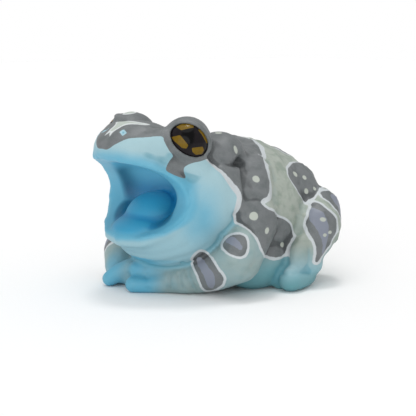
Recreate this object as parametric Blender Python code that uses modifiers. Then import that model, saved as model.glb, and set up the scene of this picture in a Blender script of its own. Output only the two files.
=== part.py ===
import bpy
import bmesh
import math
from mathutils import Euler, Matrix, Vector

# All sizes below are millimetres, turned into metres by this factor.
MM = 0.001

# Gap that neighbouring pieces keep.
GAP = 0.32

# Grain of the modelling, and how often it is smoothed.
CORE_GRAIN = 0.8
LIMB_GRAIN = 0.6
CORE_SMOOTH = 6
LIMB_SMOOTH = 3

# Triangles each piece is thinned to.
CORE_TRIANGLES = 4300
LIMB_TRIANGLES = 210
HAND_TRIANGLES = 420
TONGUE_TRIANGLES = 320

# Trunk and head, as centre, radii and turn in degrees, mirrored where x is not 0.
RIBCAGE = ((0, 13.2, 24.1), (27, 27.6, 24.3))
RUMP = ((0, 25, 25), (22.5, 18.6, 20))
HIP = ((12, 28, 27.2), (12.3, 11.6, 13.4))
BELLY_SIDE = ((18, 10, 9), (9, 15, 9.6))
SHOULDER = ((25, 2.5, 24), (7.8, 8, 11))
NECK_ROLL = ((12, -1.5, 45), (9.4, 7, 6.8))
HEAD_BALL = ((0, -13, 30), (24, 20, 20))
THROAT = ((0, -13, 23.2), (22, 19, 16))
CHEEK = ((13, -9, 33), (14, 13.5, 16))
CROWN = ((0, -20, 45.6), (14, 17, 7.6))
SNOUT = ((0, -25.5, 46.6), (14.3, 13.5, 8.9))
EYE_BULGE = ((13.8, -17.4, 49.2), (7.2, 9, 8.4))
CORE_LUMPS = (RIBCAGE, RUMP, HIP, BELLY_SIDE, SHOULDER, NECK_ROLL)
CORE_LUMPS = CORE_LUMPS + (HEAD_BALL, THROAT, CHEEK, CROWN, SNOUT, EYE_BULGE)

# Rolls of skin behind the head, as beads along a line, each x, y, z and radius, mirrored.
BACK_ROLL = ((9, 10.5, 41.2, 6), (19.5, 8, 37.4, 6.2), (24.2, 5, 31.5, 5))
SIDE_ROLL = ((18, -7, 40.5, 4.4), (22.8, -4, 37, 5), (25.6, -2.4, 31.5, 4.2))

# Lips.
UPPER_LIP = ((0, -35.2, 45, 3.6), (8, -33.3, 44, 3.4), (13.5, -29, 41.5, 3.2), (17, -24, 38, 3.2), (18, -19.6, 33, 3.8))
LOWER_LIP = ((0, -31.4, 18.4, 2.9), (8.5, -29.8, 19.2, 2.9), (14.5, -26, 22.4, 3), (17.6, -22, 27, 3.4), (18, -19.6, 32, 3.8))

# Open mouth.
MOUTH_GAPE = ((0, -41, 31.2), (60, 20.5, 12.6))
MOUTH_CAVE = ((0, -24, 32.6), (15, 15.5, 10.6), (-20, 0, 0))

# Tongue.
TONGUE = ((0, -19.5, 22.8), (12.5, 12, 9.6))

# Eyeballs.
EYE_CENTRE = (15.2, -18.6, 49)
EYE_RADIUS = 7.2

# Raised lid round each eyeball: an oval ring across the way the eye looks.
EYE_GAZE = (0.86, -0.46, 0.2)
LID_HALVES = (8.3, 6.6)
LID_LEAN = -30
LID_STAND = 2.6
LID_THICK = 1.35
LID_BEADS = 32

# Near arm on the left side of the figure, far arm on its right side.
LEFT_UPPER_ARM = ((24, 4, 23, 8.2), (26, -3, 14, 7.8))
LEFT_FOREARM = ((26, -5, 12, 7.7), (18.8, -8.8, 8, 6.6), (11.6, -11.2, 5, 5.5))
LEFT_PALM = ((11, -13.4, 4.7, 5), (7, -16.2, 4, 4.5))
LEFT_OUTER_FINGER = ((6.4, -16.7, 3.6, 4), (1.8, -22.2, 2.3, 2.7), (-2, -26, 2.5, 2.9))
LEFT_INNER_FINGER = ((6, -15.2, 6, 3.9), (0.4, -19.6, 6.6, 3.1), (-4.4, -22.8, 6.6, 2.9))
RIGHT_UPPER_ARM = ((-24, 4, 23, 8.2), (-25.5, -4, 14, 7.8))
RIGHT_FOREARM = ((-25, -6, 12, 7.6), (-22.6, -15, 9.6, 7), (-18, -20, 5, 5.2))
RIGHT_PALM = ((-17.5, -20.5, 4.4, 4.8), (-15.5, -22, 3.7, 4.2))
RIGHT_OUTER_FINGER = ((-8.5, -22.3, 6.6, 3.2), (-12, -24.8, 4.4, 3.2), (-14.2, -26.8, 2.4, 2.7))
RIGHT_INNER_FINGER = ((-15, -21, 3.7, 4), (-8.5, -22, 3.4, 3.2))

# Folded legs, mirrored.
THIGH = ((20.5, 33.6, 22.8, 9.3), (24.8, 29.4, 19.4, 9.2), (27.6, 24, 12, 5.6))
SHANK = ((28, 23, 8.2, 5.4), (25.5, 24.6, 7.6, 4.9))
SHIN = ((28.9, 22.4, 15, 3.4), (28.9, 22.4, 8.5, 3.8))
KNEE = ((28, 19.5, 14.5, 3), (28, 19.5, 8.5, 3.5))
FOOT_SOLE = ((26.5, 23, 3.9, 4.4), (28.8, 18, 3.7, 4.2), (29.4, 14, 3.9, 4.4))
FOOT_TOE = ((28.5, 20, 3.5, 3.8), (24.5, 14, 3.1, 3.6))

# Cuts between head, jaw and trunk.
NECK_Y = -5
NECK_LEAN = 12
JAW_Z = 31
BIG = 200


def clear_scene():
    for item in list(bpy.data.objects):
        bpy.data.objects.remove(item)


def new_collection(name):
    made = bpy.data.collections.new(name)
    bpy.context.scene.collection.children.link(made)
    return made


def new_object(name, bm):
    mesh = bpy.data.meshes.new(name)
    bm.to_mesh(mesh)
    bm.free()
    made = bpy.data.objects.new(name, mesh)
    cutters.objects.link(made)
    return made


def add_lump(bm, centre, radii, turn=(0, 0, 0)):
    # An ellipsoid, and its mirror image when it stands off the middle.
    sides = (1, -1) if abs(centre[0]) > 0.001 else (1,)
    for side in sides:
        angles = [math.radians(turn[0]), math.radians(turn[1] * side), math.radians(turn[2] * side)]
        place = Matrix.Translation(Vector((centre[0] * side, centre[1], centre[2])) * MM)
        turned = Euler(angles).to_matrix().to_4x4()
        stretch = Matrix.Diagonal((radii[0] * MM, radii[1] * MM, radii[2] * MM, 1))
        bmesh.ops.create_icosphere(bm, subdivisions=4, radius=1, matrix=place @ turned @ stretch)


def add_strand(bm, beads, side=1):
    # A row of balls whose radius runs evenly from bead to bead.
    for start, end in zip(beads, beads[1:]):
        length = math.dist(start[:3], end[:3])
        count = max(1, int(length / (0.35 * min(start[3], end[3]))) + 1)
        for index in range(count + 1):
            share = index / count
            bead = [a + (b - a) * share for a, b in zip(start, end)]
            place = Matrix.Translation(Vector((bead[0] * side, bead[1], bead[2])) * MM)
            bmesh.ops.create_icosphere(bm, subdivisions=2, radius=bead[3] * MM, matrix=place)


def lid_beads():
    gaze = Vector(EYE_GAZE).normalized()
    level = Vector((0, 0, 1)).cross(gaze).normalized()
    rise = gaze.cross(level)
    lean = math.radians(LID_LEAN)
    centre = Vector(EYE_CENTRE) + gaze * LID_STAND
    beads = []
    for step in range(LID_BEADS + 1):
        angle = math.tau * step / LID_BEADS
        across = LID_HALVES[0] * math.cos(angle)
        tall = LID_HALVES[1] * math.sin(angle)
        along = across * math.cos(lean) - tall * math.sin(lean)
        above = across * math.sin(lean) + tall * math.cos(lean)
        place = centre + level * along + rise * above
        beads.append((place.x, place.y, place.z, LID_THICK))
    return beads


def settle(item):
    # Turns the modifiers of an object into plain mesh.
    graph = bpy.context.evaluated_depsgraph_get()
    mesh = bpy.data.meshes.new_from_object(item.evaluated_get(graph))
    item.modifiers.clear()
    old = item.data
    item.data = mesh
    bpy.data.meshes.remove(old)


def knead(item, grain, rounds):
    # Fuses everything in the object into one skin and smooths it.
    fuse = item.modifiers.new("fuse", "REMESH")
    fuse.mode = "VOXEL"
    fuse.voxel_size = grain * MM
    soft = item.modifiers.new("soft", "SMOOTH")
    soft.factor = 0.5
    soft.iterations = rounds
    settle(item)


def thin(item, triangles):
    bm = bmesh.new()
    bm.from_mesh(item.data)
    bmesh.ops.triangulate(bm, faces=bm.faces)
    bm.to_mesh(item.data)
    bm.free()
    reduce = item.modifiers.new("reduce", "DECIMATE")
    reduce.ratio = min(1, triangles / len(item.data.polygons))
    settle(item)


def largest(item):
    # Keeps the closed surface with the most faces.
    bm = bmesh.new()
    bm.from_mesh(item.data)
    left = set(bm.faces)
    best = set()
    while left:
        group = set()
        border = [left.pop()]
        while border:
            face = border.pop()
            group.add(face)
            for edge in face.edges:
                for other in edge.link_faces:
                    if other in left:
                        left.discard(other)
                        border.append(other)
        if len(group) > len(best):
            best = group
    bmesh.ops.delete(bm, geom=[face for face in bm.faces if face not in best], context="FACES")
    bmesh.ops.triangulate(bm, faces=bm.faces)
    bm.to_mesh(item.data)
    bm.free()


def carve(item, tool, operation="DIFFERENCE"):
    cut = item.modifiers.new("cut", "BOOLEAN")
    cut.operation = operation
    cut.solver = "MANIFOLD"
    cut.object = tool
    settle(item)
    largest(item)


def grown(item, gap):
    # A copy whose surface stands out by the gap.
    copy = item.copy()
    copy.data = item.data.copy()
    cutters.objects.link(copy)
    normals = [vertex.normal.copy() for vertex in copy.data.vertices]
    for vertex, normal in zip(copy.data.vertices, normals):
        vertex.co = vertex.co + normal * gap * MM
    return copy


def make_room(item, *neighbours):
    for neighbour in neighbours:
        tool = grown(neighbour, GAP)
        carve(item, tool)
        bpy.data.objects.remove(tool)


def half_space(origin, direction):
    # A large block on the far side of a plane.
    bm = bmesh.new()
    face = Vector(direction).normalized()
    turned = face.to_track_quat("Z", "Y").to_matrix().to_4x4()
    place = Matrix.Translation((Vector(origin) + face * BIG / 2) * MM)
    bmesh.ops.create_cube(bm, size=BIG * MM, matrix=place @ turned)
    return new_object("block", bm)


def keep_side(item, origin, direction):
    block = half_space(origin, direction)
    carve(item, block, "INTERSECT")
    bpy.data.objects.remove(block)


def duplicate(item, name):
    copy = item.copy()
    copy.data = item.data.copy()
    copy.name = name
    cutters.objects.link(copy)
    return copy


def limb(name, strands, triangles, side=1):
    bm = bmesh.new()
    for beads in strands:
        add_strand(bm, beads, side)
    made = new_object(name, bm)
    knead(made, LIMB_GRAIN, LIMB_SMOOTH)
    thin(made, triangles)
    keep_side(made, (0, 0, 0), (0, 0, 1))
    return made


def finish_piece(item, name, colour, roughness):
    item.name = name
    item.data.name = name
    cutters.objects.unlink(item)
    frog.objects.link(item)
    material = bpy.data.materials.new(name)
    material.use_nodes = True
    shader = material.node_tree.nodes["Principled BSDF"]
    shader.inputs["Base Color"].default_value = (colour[0], colour[1], colour[2], 1)
    shader.inputs["Roughness"].default_value = roughness
    item.data.materials.clear()
    item.data.materials.append(material)


clear_scene()
frog = new_collection("milk_frog_figure")
cutters = new_collection("cutters")

# Trunk, head and throat are modelled as one, then parted.
bm = bmesh.new()
for lump in CORE_LUMPS:
    add_lump(bm, *lump)
for beads in (UPPER_LIP, LOWER_LIP, BACK_ROLL, SIDE_ROLL, lid_beads()):
    add_strand(bm, beads)
    add_strand(bm, beads, -1)
core = new_object("core", bm)
knead(core, CORE_GRAIN, CORE_SMOOTH)

bm = bmesh.new()
add_lump(bm, *MOUTH_GAPE)
add_lump(bm, *MOUTH_CAVE)
mouth = new_object("mouth", bm)
knead(mouth, CORE_GRAIN, CORE_SMOOTH)
carve(core, mouth)
bpy.data.objects.remove(mouth)
knead(core, CORE_GRAIN, 3)
thin(core, CORE_TRIANGLES)
keep_side(core, (0, 0, 0), (0, 0, 1))

# Eyeballs.
eyes = []
for side in (1, -1):
    bm = bmesh.new()
    place = Matrix.Translation(Vector((EYE_CENTRE[0] * side, EYE_CENTRE[1], EYE_CENTRE[2])) * MM)
    bmesh.ops.create_icosphere(bm, subdivisions=3, radius=EYE_RADIUS * MM, matrix=place)
    eyes.append(new_object("eye", bm))

# Tongue.
bm = bmesh.new()
add_lump(bm, *TONGUE)
tongue = new_object("tongue", bm)
thin(tongue, TONGUE_TRIANGLES)

# Arms, from the hand up, each piece keeping clear of the one below it.
left_hand = limb("hand", (LEFT_PALM, LEFT_OUTER_FINGER, LEFT_INNER_FINGER), HAND_TRIANGLES)
left_forearm = limb("forearm", (LEFT_FOREARM,), LIMB_TRIANGLES)
left_upper_arm = limb("upper_arm", (LEFT_UPPER_ARM,), LIMB_TRIANGLES)
right_hand = limb("hand", (RIGHT_PALM, RIGHT_OUTER_FINGER, RIGHT_INNER_FINGER), HAND_TRIANGLES)
right_forearm = limb("forearm", (RIGHT_FOREARM,), LIMB_TRIANGLES)
right_upper_arm = limb("upper_arm", (RIGHT_UPPER_ARM,), LIMB_TRIANGLES)
make_room(left_hand, left_forearm)
make_room(right_hand, right_forearm)
make_room(left_upper_arm, left_forearm)
make_room(right_upper_arm, right_forearm)
make_room(left_hand, right_hand)
arms = [left_hand, left_forearm, left_upper_arm, right_hand, right_forearm, right_upper_arm]

# Legs.
legs = []
for side in (1, -1):
    foot = limb("foot", (FOOT_SOLE, FOOT_TOE), LIMB_TRIANGLES + 100, side)
    shank = limb("shank", (SHANK, SHIN, KNEE), LIMB_TRIANGLES + 60, side)
    thigh = limb("thigh", (THIGH,), LIMB_TRIANGLES + 150, side)
    make_room(foot, shank)
    make_room(foot, thigh)
    make_room(shank, thigh)
    legs.append((foot, shank, thigh))

# Parting the core at the neck and between the jaws.
lean = math.radians(NECK_LEAN)
back_way = (0, math.cos(lean), math.sin(lean))
front_way = (0, -back_way[1], -back_way[2])
half = GAP / 2
neck = Vector((0, NECK_Y, 30))
torso = duplicate(core, "torso")
keep_side(torso, neck + Vector(back_way) * half, back_way)
front = duplicate(core, "front")
keep_side(front, neck + Vector(front_way) * half, front_way)
head = duplicate(front, "head")
keep_side(head, (0, NECK_Y, JAW_Z + half), (0, 0, 1))
jaw = duplicate(front, "jaw")
keep_side(jaw, (0, NECK_Y, JAW_Z - half), (0, 0, -1))
bpy.data.objects.remove(front)
bpy.data.objects.remove(core)

make_room(tongue, head)
make_room(jaw, tongue)
for eye in eyes:
    make_room(head, eye)
for piece in arms:
    make_room(jaw, piece)
    make_room(torso, piece)
for set_of_three in legs:
    for piece in set_of_three:
        make_room(torso, piece)
        make_room(jaw, piece)

GREY_GREEN = (0.40, 0.45, 0.38)
PALE_BLUE = (0.40, 0.63, 0.68)
TEAL = (0.07, 0.38, 0.55)
BLACK = (0.01, 0.01, 0.01)
finish_piece(torso, "torso", GREY_GREEN, 0.55)
finish_piece(head, "head", PALE_BLUE, 0.5)
finish_piece(jaw, "lower_jaw", PALE_BLUE, 0.5)
finish_piece(tongue, "tongue", TEAL, 0.5)
finish_piece(eyes[0], "eye_left", BLACK, 0.1)
finish_piece(eyes[1], "eye_right", BLACK, 0.1)
finish_piece(left_hand, "hand_left", PALE_BLUE, 0.5)
finish_piece(left_forearm, "forearm_left", GREY_GREEN, 0.5)
finish_piece(left_upper_arm, "upper_arm_left", GREY_GREEN, 0.5)
finish_piece(right_hand, "hand_right", PALE_BLUE, 0.5)
finish_piece(right_forearm, "forearm_right", GREY_GREEN, 0.5)
finish_piece(right_upper_arm, "upper_arm_right", GREY_GREEN, 0.5)
for set_of_three, word in zip(legs, ("left", "right")):
    finish_piece(set_of_three[0], "foot_" + word, PALE_BLUE, 0.5)
    finish_piece(set_of_three[1], "shank_" + word, GREY_GREEN, 0.5)
    finish_piece(set_of_three[2], "thigh_" + word, GREY_GREEN, 0.5)

# The origin goes to the bottom centre of the whole figure.
points = [vertex.co for item in frog.objects for vertex in item.data.vertices]
low = [min(point[axis] for point in points) for axis in range(3)]
high = [max(point[axis] for point in points) for axis in range(3)]
middle = Vector(((low[0] + high[0]) / 2, (low[1] + high[1]) / 2, low[2]))
for item in frog.objects:
    item.data.transform(Matrix.Translation(-middle))
    item.data.update()
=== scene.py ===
import bmesh
import bpy
import math
import numpy as np
from mathutils import Euler, Matrix, Vector, noise


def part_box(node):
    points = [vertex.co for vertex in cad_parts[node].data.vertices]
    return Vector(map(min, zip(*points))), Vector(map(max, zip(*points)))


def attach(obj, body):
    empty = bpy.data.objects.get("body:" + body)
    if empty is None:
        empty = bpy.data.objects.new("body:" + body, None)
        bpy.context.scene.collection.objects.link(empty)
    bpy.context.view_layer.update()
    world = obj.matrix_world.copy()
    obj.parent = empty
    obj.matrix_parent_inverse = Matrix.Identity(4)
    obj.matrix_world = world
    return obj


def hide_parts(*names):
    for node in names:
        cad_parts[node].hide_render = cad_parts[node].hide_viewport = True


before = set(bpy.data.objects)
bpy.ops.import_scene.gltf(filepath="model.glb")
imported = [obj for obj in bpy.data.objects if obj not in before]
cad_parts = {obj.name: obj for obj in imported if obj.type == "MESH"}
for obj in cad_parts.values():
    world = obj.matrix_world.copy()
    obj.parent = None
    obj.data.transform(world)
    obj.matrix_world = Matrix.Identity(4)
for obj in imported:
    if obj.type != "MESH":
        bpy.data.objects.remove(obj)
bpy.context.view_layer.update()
mm = 0.001

# Sizes below are millimetres in the figure's own place, which the CAD model's left eye ties to the frame.
# There x runs to the figure's left, y to its rump and z up from the table.
eyeBall = {
    "node": (15.2, -18.6, 49.0),  # where the CAD eye stands
    "centre": (15.7, -17.7, 49.2),
    "radius": 7.2,
    "segments": 96,
    "rings": 64,
}
eyeLow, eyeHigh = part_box("eye_left")
shift = np.array((eyeLow + eyeHigh) / 2 - Vector(eyeBall["node"]) * mm)

view = {
    "azimuth": 50.0,
    "elevation": 9.0,
    "distance": 350.0,
    "lens": 93.0,
    "sensor": 36.0,
    "target": (8.0, -3.0, 26.3),
}

# The forms are built from balls and kneaded: how fine the balls are, how far apart a strand's balls stand, in
# radii, and how much one round of smoothing moves the clay.
clayBall = {
    "lumpDetail": 4,
    "beadDetail": 2,
    "spacing": 0.35,
    "softness": 0.5,
}


def viewAxes():
    turn = math.radians(view["azimuth"])
    tilt = math.radians(view["elevation"])
    back = np.array([math.sin(turn) * math.cos(tilt), -math.cos(turn) * math.cos(tilt), math.sin(tilt)])
    right = np.array([math.cos(turn), math.sin(turn), 0.0])
    return right, np.cross(back, right), back


def newObject(name, bm):
    mesh = bpy.data.meshes.new(name)
    bm.to_mesh(mesh)
    bm.free()
    made = bpy.data.objects.new(name, mesh)
    bpy.context.scene.collection.objects.link(made)
    return made


def addLump(bm, centre, radii, turn=(0, 0, 0)):
    # an ellipsoid, with its mirror image when it stands off the middle
    for side in (1, -1) if centre[0] else (1,):
        angles = [math.radians(turn[0]), math.radians(turn[1] * side), math.radians(turn[2] * side)]
        place = Matrix.Translation((centre[0] * side, centre[1], centre[2]))
        turned = Euler(angles).to_matrix().to_4x4()
        stretch = Matrix.Diagonal((*radii, 1))
        bmesh.ops.create_icosphere(bm, subdivisions=clayBall["lumpDetail"], radius=1,
                                   matrix=place @ turned @ stretch)


def addStrand(bm, beads, sides):
    # a row of balls whose radius runs evenly from bead to bead
    for side in sides:
        for start, end in zip(beads, beads[1:]):
            length = math.dist(start[:3], end[:3])
            count = max(1, int(length / (clayBall["spacing"] * min(start[3], end[3]))) + 1)
            for index in range(count + 1):
                share = index / count
                bead = [a + (b - a) * share for a, b in zip(start, end)]
                place = Matrix.Translation((bead[0] * side, bead[1], bead[2]))
                bmesh.ops.create_icosphere(bm, subdivisions=clayBall["beadDetail"], radius=bead[3],
                                           matrix=place)


def settle(item):
    # turns the modifiers' result into the object's own mesh
    graph = bpy.context.evaluated_depsgraph_get()
    mesh = bpy.data.meshes.new_from_object(item.evaluated_get(graph))
    item.modifiers.clear()
    old = item.data
    item.data = mesh
    bpy.data.meshes.remove(old)


def knead(item, grain, rounds):
    # fuses everything in the object into one skin and smooths it
    fuse = item.modifiers.new("fuse", "REMESH")
    fuse.mode = "VOXEL"
    fuse.voxel_size = grain
    soft = item.modifiers.new("soft", "SMOOTH")
    soft.factor = clayBall["softness"]
    soft.iterations = rounds
    settle(item)


def carve(item, tool):
    cut = item.modifiers.new("cut", "BOOLEAN")
    cut.operation = "DIFFERENCE"
    cut.solver = "MANIFOLD"
    cut.object = tool
    settle(item)
    bpy.data.objects.remove(tool)


def sculpt(name, form):
    # lumps and strands of clay kneaded together; strands are mirrored unless they name their side
    bm = bmesh.new()
    for lump in form.get("lumps", ()):
        addLump(bm, *lump)
    for key, sides in (("strands", (1, -1)), ("leftStrands", (1,)), ("rightStrands", (-1,))):
        for strand in form.get(key, ()):
            addStrand(bm, strand, sides)
    made = newObject(name, bm)
    knead(made, form["grain"], form["smooth"])
    return made


# Head and throat, with the mouth carved out before anything joins it.
head = {
    "lumps": [
        ((0, -13, 30), (24, 20, 20)),
        ((0, -13, 23.2), (22, 19, 16)),
        ((13, -9, 33), (14, 13.5, 16)),
        ((0, -20, 45.6), (14, 17, 7.6)),
        ((0, -25.5, 46.6), (14.3, 13.5, 8.9)),
    ],
    "strands": [
        ((0, -35.2, 45, 3.6), (8, -33.3, 44, 3.4), (13.5, -29, 41.5, 3.2), (17, -24, 38, 3.2),
         (18, -19.6, 33, 3.8)),
        ((0, -31.4, 18.4, 2.9), (8.5, -29.8, 19.2, 2.9), (14.5, -26, 22.4, 3), (17.6, -22, 27, 3.4),
         (18, -19.6, 32, 3.8)),
    ],
    "grain": 0.7,
    "smooth": 7,
    "carvedGrain": 0.6,
    "carvedSmooth": 3,
}
mouth = {
    "lumps": [
        ((0, -41, 31.2), (60, 20.5, 12.6)),
        ((0, -25.5, 32.4), (15, 12.5, 10.6), (-20, 0, 0)),
    ],
    "grain": 0.7,
    "smooth": 7,
}
headClay = sculpt("headClay", head)
carve(headClay, sculpt("mouthClay", mouth))
knead(headClay, head["carvedGrain"], head["carvedSmooth"])
clay = [headClay]

# Trunk, and the bulging folds behind the head.
trunk = {
    "lumps": [
        ((0, 13.2, 24.1), (27, 27.6, 24.3)),
        ((0, 25, 25), (22.5, 18.6, 20)),
        ((12, 28, 27.2), (12.3, 11.6, 13.4)),
        ((18, 10, 9), (9, 15, 9.6)),
        ((24.6, 1.5, 24), (7.6, 7.6, 10.5)),
    ],
    "grain": 0.8,
    "smooth": 6,
}
neckFolds = {
    "lumps": [
        ((12, -1.5, 45), (9.4, 7, 6.8)),
        ((24.6, 1.2, 25), (7.2, 6.8, 9)),
    ],
    "strands": [
        ((9, 10.5, 41.2, 6), (19.5, 6.4, 37.5, 6.4), (24, 3.4, 31.5, 5.4)),
        ((18.8, -9.5, 38.4, 4), (22.4, -6.6, 36, 4.7), (25.2, -5, 31.5, 4)),
    ],
    "grain": 0.6,
    "smooth": 3,
}
tongue = {
    "lumps": [
        ((0, -18.2, 22.6), (10.8, 10, 9.8)),
        ((0, -20.5, 19.8), (13, 12.4, 6.6)),
    ],
    "grain": 0.6,
    "smooth": 5,
}
clay.append(sculpt("trunkClay", trunk))
clay.append(sculpt("foldsClay", neckFolds))
clay.append(sculpt("tongueClay", tongue))

# The lids are an oval band that lies on the eyeball and leans forward and down.
lid = {
    "gaze": (0.83, -0.52, 0.23),
    "lean": -35.0,
    "openLong": 6.2,
    "openShort": 4.45,
    "rim": 0.7,
    "thick": 0.9,
    "lift": 0.35,
    "beads": 48,
    "floor": 2.4,  # how far out of the eyeball's middle the opening starts
    "depth": 8.0,
    "flare": 1.04,
    "segments": 64,
}
eyeBulge = {
    "lumps": [
        ((13.9, -16.6, 49.0), (7.3, 8.3, 8.3)),
        ((15.6, -17.6, 49.1), (7.7, 7.7, 7.7)),
    ],
    "fillets": [
        ((9, -31, 48.5, 3.5), (12.6, -25, 49, 5.2)),
        ((16, -23, 43.5, 3), (19.6, -16.5, 42, 3.8)),
    ],
    "grain": 0.6,
    "smooth": 2,
}


def lidPlace(side):
    # a matrix whose z looks out of the eye and whose x runs along the oval
    gaze = Vector(lid["gaze"]).normalized()
    level = Vector((0, 0, 1)).cross(gaze).normalized()
    rise = gaze.cross(level)
    lean = math.radians(lid["lean"])
    along = level * math.cos(lean) + rise * math.sin(lean)
    tall = rise * math.cos(lean) - level * math.sin(lean)
    turn = Matrix((along, tall, gaze)).transposed().to_4x4()
    place = Matrix.Translation(eyeBall["centre"]) @ turn
    return Matrix.Diagonal((side, 1, 1, 1)) @ place


def lidBeads():
    beads = []
    sphere = eyeBall["radius"] + lid["lift"]
    for index in range(lid["beads"] + 1):
        angle = math.tau * index / lid["beads"]
        across = (lid["openLong"] + lid["rim"]) * math.cos(angle)
        tall = (lid["openShort"] + lid["rim"]) * math.sin(angle)
        out = math.sqrt(max(0.0, sphere ** 2 - across ** 2 - tall ** 2))
        spot = lidPlace(1) @ Vector((across, tall, out))
        beads.append((*spot, lid["thick"]))
    return tuple(beads)


def lidOpening():
    bm = bmesh.new()
    for side in (1, -1):
        cone = bmesh.ops.create_cone(bm, cap_ends=True, segments=lid["segments"], radius1=1.0,
                                     radius2=lid["flare"], depth=lid["depth"])
        stretch = Matrix.Diagonal((lid["openLong"], lid["openShort"], 1, 1))
        middle = Matrix.Translation((0, 0, lid["floor"] + lid["depth"] / 2))
        bmesh.ops.transform(bm, matrix=lidPlace(side) @ middle @ stretch, verts=cone["verts"])
    bmesh.ops.recalc_face_normals(bm, faces=bm.faces)
    return newObject("lidOpening", bm)


eyeBulge["strands"] = [lidBeads(), *eyeBulge["fillets"]]
clay.append(sculpt("bulgeClay", eyeBulge))

# Limbs; the two arms and hands lie differently.
arms = {
    "leftStrands": [
        ((24, 2.6, 23, 7.8), (25.4, -4, 14, 7.5)),
        ((25.6, -5.4, 12, 7.5), (18.8, -8.8, 8, 6.6), (11.6, -11.2, 5, 5.5)),
    ],
    "rightStrands": [
        ((24, 4, 23, 8.2), (25.5, -4, 14, 7.8)),
        ((25, -6, 12, 7.6), (22.6, -15, 9.6, 7), (18, -20, 5, 5.2)),
    ],
    "grain": 0.55,
    "smooth": 4,
}
hands = {
    "leftStrands": [
        ((11, -13.4, 4.7, 5), (7, -16.2, 4, 4.5)),
        ((6.4, -16.7, 3.6, 4), (1.8, -22.2, 2.3, 2.7), (-2, -26, 2.5, 2.9)),
        ((6, -15.2, 6, 3.9), (0.4, -19.6, 6.6, 3.1), (-4.4, -22.8, 6.6, 2.9)),
    ],
    "rightStrands": [
        ((17.5, -20.5, 4.4, 4.8), (15.5, -22, 3.7, 4.2)),
        ((8.5, -22.3, 6.6, 3.2), (12, -24.8, 4.4, 3.2), (14.2, -26.8, 2.4, 2.7)),
        ((15, -21, 3.7, 4), (8.5, -22, 3.4, 3.2)),
        ((19, -12.5, 7.5, 5), (13, -14.5, 6.5, 5), (8, -15.5, 5, 4.4)),  # closes the gap behind the hand
    ],
    "grain": 0.5,
    "smooth": 2,
}
legs = {
    "lumps": [
        ((28.9, 22.4, 11.5), (3.6, 3.4, 6.4)),
    ],
    "strands": [
        ((28.2, 18.2, 9.6, 4.1), (27.8, 21, 15, 3.5), (26.8, 24, 20, 2)),
        ((20.5, 33.6, 22.8, 9.3), (24.8, 29.4, 19.4, 9.2), (27.6, 24, 12, 5.6)),
        ((28, 23, 8.2, 5.4), (25.5, 24.6, 7.6, 4.9)),
    ],
    "grain": 0.55,
    "smooth": 3,
}
feet = {
    "strands": [
        ((26.5, 23, 3.9, 4.4), (28.8, 18, 3.7, 4.2), (29.4, 14, 3.9, 4.4)),
        ((28.5, 20, 3.5, 3.8), (24.5, 14, 3.1, 3.6)),
    ],
    "grain": 0.5,
    "smooth": 2,
}
for name, form in (("armsClay", arms), ("handsClay", hands), ("legsClay", legs), ("feetClay", feet)):
    clay.append(sculpt(name, form))
print("clay forms made:", len(clay))

# One skin over all of it, opened at the eyes.
wholeSkin = {
    "grain": 0.6,
    "smooth": 2,
    "openedGrain": 0.54,
    "openedSmooth": 1,
}
bm = bmesh.new()
for form in clay:
    bm.from_mesh(form.data)
    bpy.data.objects.remove(form)
skin = newObject("frogSkin", bm)
knead(skin, wholeSkin["grain"], wholeSkin["smooth"])
carve(skin, lidOpening())
knead(skin, wholeSkin["openedGrain"], wholeSkin["openedSmooth"])
print("skin fused:", len(skin.data.vertices), "points")


def readPoints(mesh):
    points = np.empty(len(mesh.vertices) * 3)
    mesh.vertices.foreach_get("co", points)
    return points.reshape(-1, 3)


def writePoints(mesh, points):
    mesh.vertices.foreach_set("co", points.ravel())
    mesh.update()


def pointNormals(mesh):
    normals = np.empty(len(mesh.vertices) * 3)
    mesh.vertex_normals.foreach_get("vector", normals)
    return normals.reshape(-1, 3)


def mirrored(points):
    # the right half folded onto the left
    folded = points.copy()
    folded[:, 0] = np.abs(folded[:, 0])
    return folded


def lineDistance(points, line):
    # distance from every point to a polyline in any number of dimensions
    best = np.full(len(points), 1e9)
    line = np.asarray(line, dtype=float)
    for start, end in zip(line, line[1:]):
        way = end - start
        share = np.clip((points - start) @ way / max(way @ way, 1e-9), 0.0, 1.0)
        gap = points - start - share[:, None] * way
        best = np.minimum(best, np.sqrt((gap * gap).sum(axis=1)))
    return best


def outlineDistance(points, outline, turns=2):
    # distance to a closed outline with its corners rounded, in a flat chart, positive inside it
    outline = np.asarray(outline, dtype=float)
    for turn in range(turns):
        onward = np.roll(outline, -1, axis=0)
        cut = [outline * 0.75 + onward * 0.25, outline * 0.25 + onward * 0.75]
        outline = np.stack(cut, axis=1).reshape(-1, 2)
    closed = np.vstack([outline, outline[:1]])
    best = lineDistance(points, closed)
    inside = np.zeros(len(points), dtype=bool)
    for (ax, ay), (bx, by) in zip(closed, closed[1:]):
        if ay == by:
            continue
        spans = (points[:, 1] > min(ay, by)) & (points[:, 1] <= max(ay, by))
        cross = ax + (points[:, 1] - ay) * (bx - ax) / (by - ay)
        inside ^= spans & (points[:, 0] < cross)
    return np.where(inside, best, -best)


def ballDistance(points, centre, radii):
    # near enough the distance to an ellipsoid, positive outside it
    away = points - np.asarray(centre, dtype=float)
    radii = np.asarray(radii, dtype=float)
    reach = np.sqrt(((away / radii) ** 2).sum(axis=1)) + 1e-9
    slope = np.sqrt(((away / radii ** 2) ** 2).sum(axis=1)) + 1e-9
    return reach * (reach - 1) / slope


def fade(values, start, end):
    # eases from 0 at the start to 1 at the end, which may be the lower of the two
    share = np.clip((values - start) / (end - start), 0.0, 1.0)
    return share * share * (3 - 2 * share)


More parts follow.
